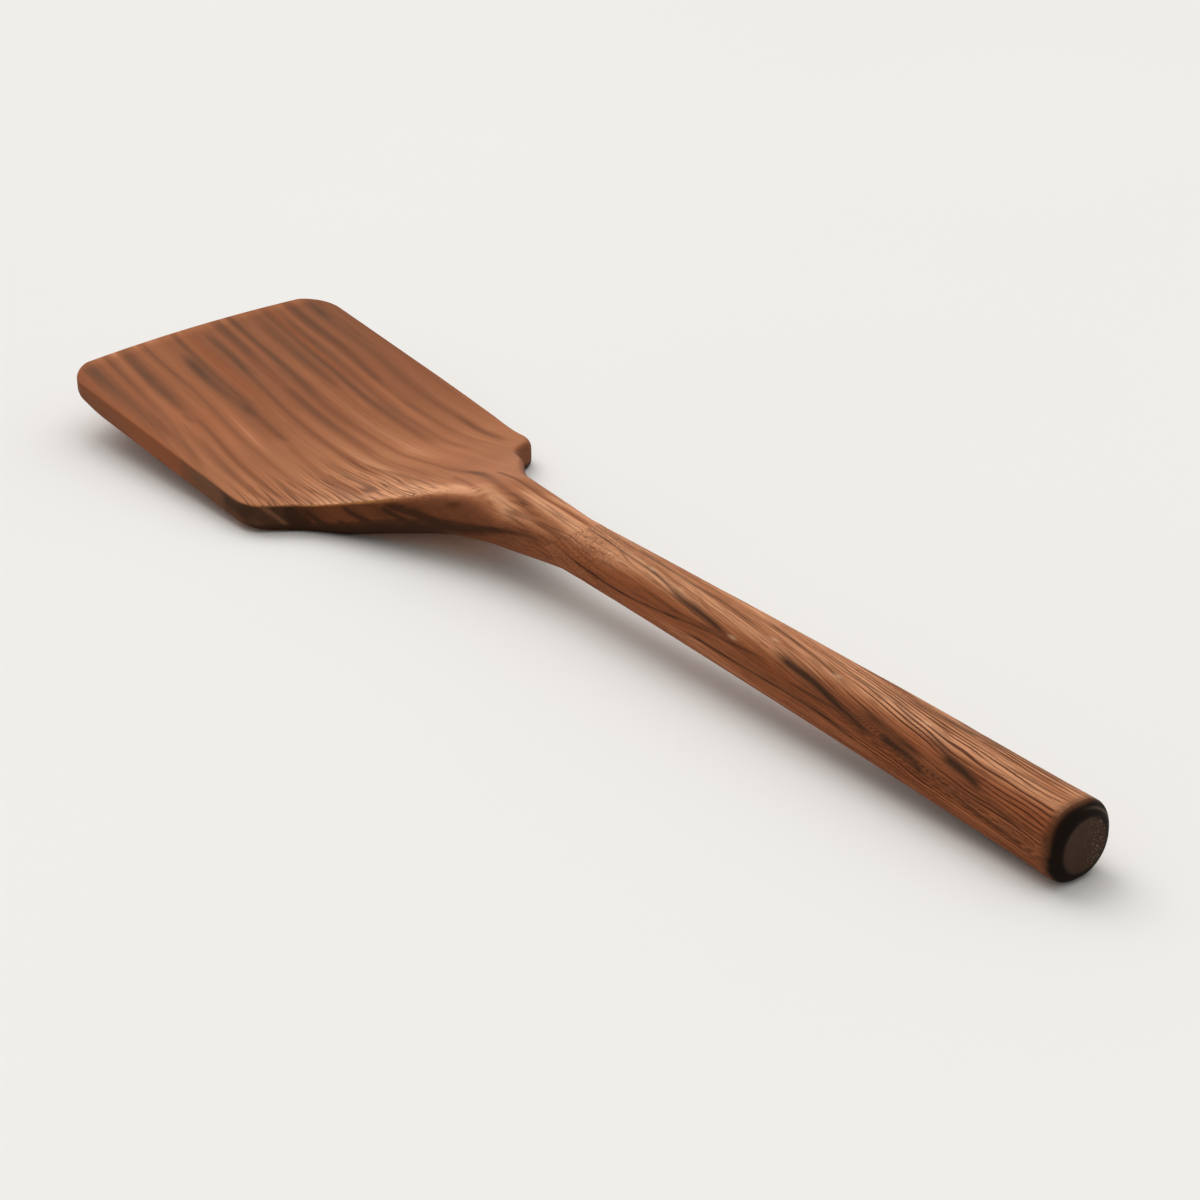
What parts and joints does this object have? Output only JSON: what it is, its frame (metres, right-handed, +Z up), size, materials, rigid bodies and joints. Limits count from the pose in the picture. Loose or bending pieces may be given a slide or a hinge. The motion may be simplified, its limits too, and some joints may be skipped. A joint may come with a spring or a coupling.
{
  "type": "wooden spatula",
  "caption": "Wooden turner with a flat oblong blade with rounded corners, a cranked neck and a tapered brushed handle that ends in a near-black button cap; dark reddish-brown oiled wood",
  "frame": {"origin": "on the ground under the middle of the bounding box, with the spatula lying face up on the heel of its blade and on its butt", "axes": "+X along the handle from the blade's tip to the butt, +Y across the blade to the side whose shoulder sits further back, +Z up out of the working face"},
  "size_m": [0.3232, 0.0836, 0.0206],
  "materials": {
    "blade_wood": "oiled, smooth, striped reddish-brown grain",
    "handle_wood": "oiled, brushed open grain",
    "dowel_wood": "raw",
    "cap_wood": "oiled, near black"
  },
  "bodies": {
    "root": {"blade": "blade_wood", "handle": "handle_wood", "neck_dowel": "dowel_wood", "end_cap": "cap_wood"}
  },
  "joints": []
}
